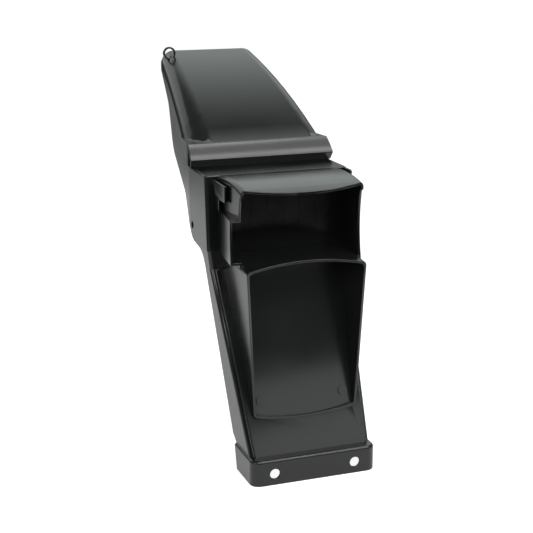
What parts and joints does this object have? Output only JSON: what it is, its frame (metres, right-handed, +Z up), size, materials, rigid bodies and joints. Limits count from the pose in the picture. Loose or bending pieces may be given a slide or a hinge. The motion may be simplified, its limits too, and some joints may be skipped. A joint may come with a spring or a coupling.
{
  "type": "motorcycle rear mudguard",
  "caption": "One-piece black plastic rear mudguard for a motorcycle, with an arch over the wheel, an open light box, a number plate recess and a tail cuff with fixing holes.",
  "frame": {"origin": "Midway between the two tail holes, on the rear face of the tail cuff", "axes": "+X to the right as seen from behind, +Y forward, towards the wheel and the front of the vehicle, +Z up"},
  "size_m": [0.1616, 0.3478, 0.4066],
  "materials": {
    "black_plastic": "satin"
  },
  "bodies": {
    "root": {"mudguard": "black_plastic"}
  },
  "joints": []
}
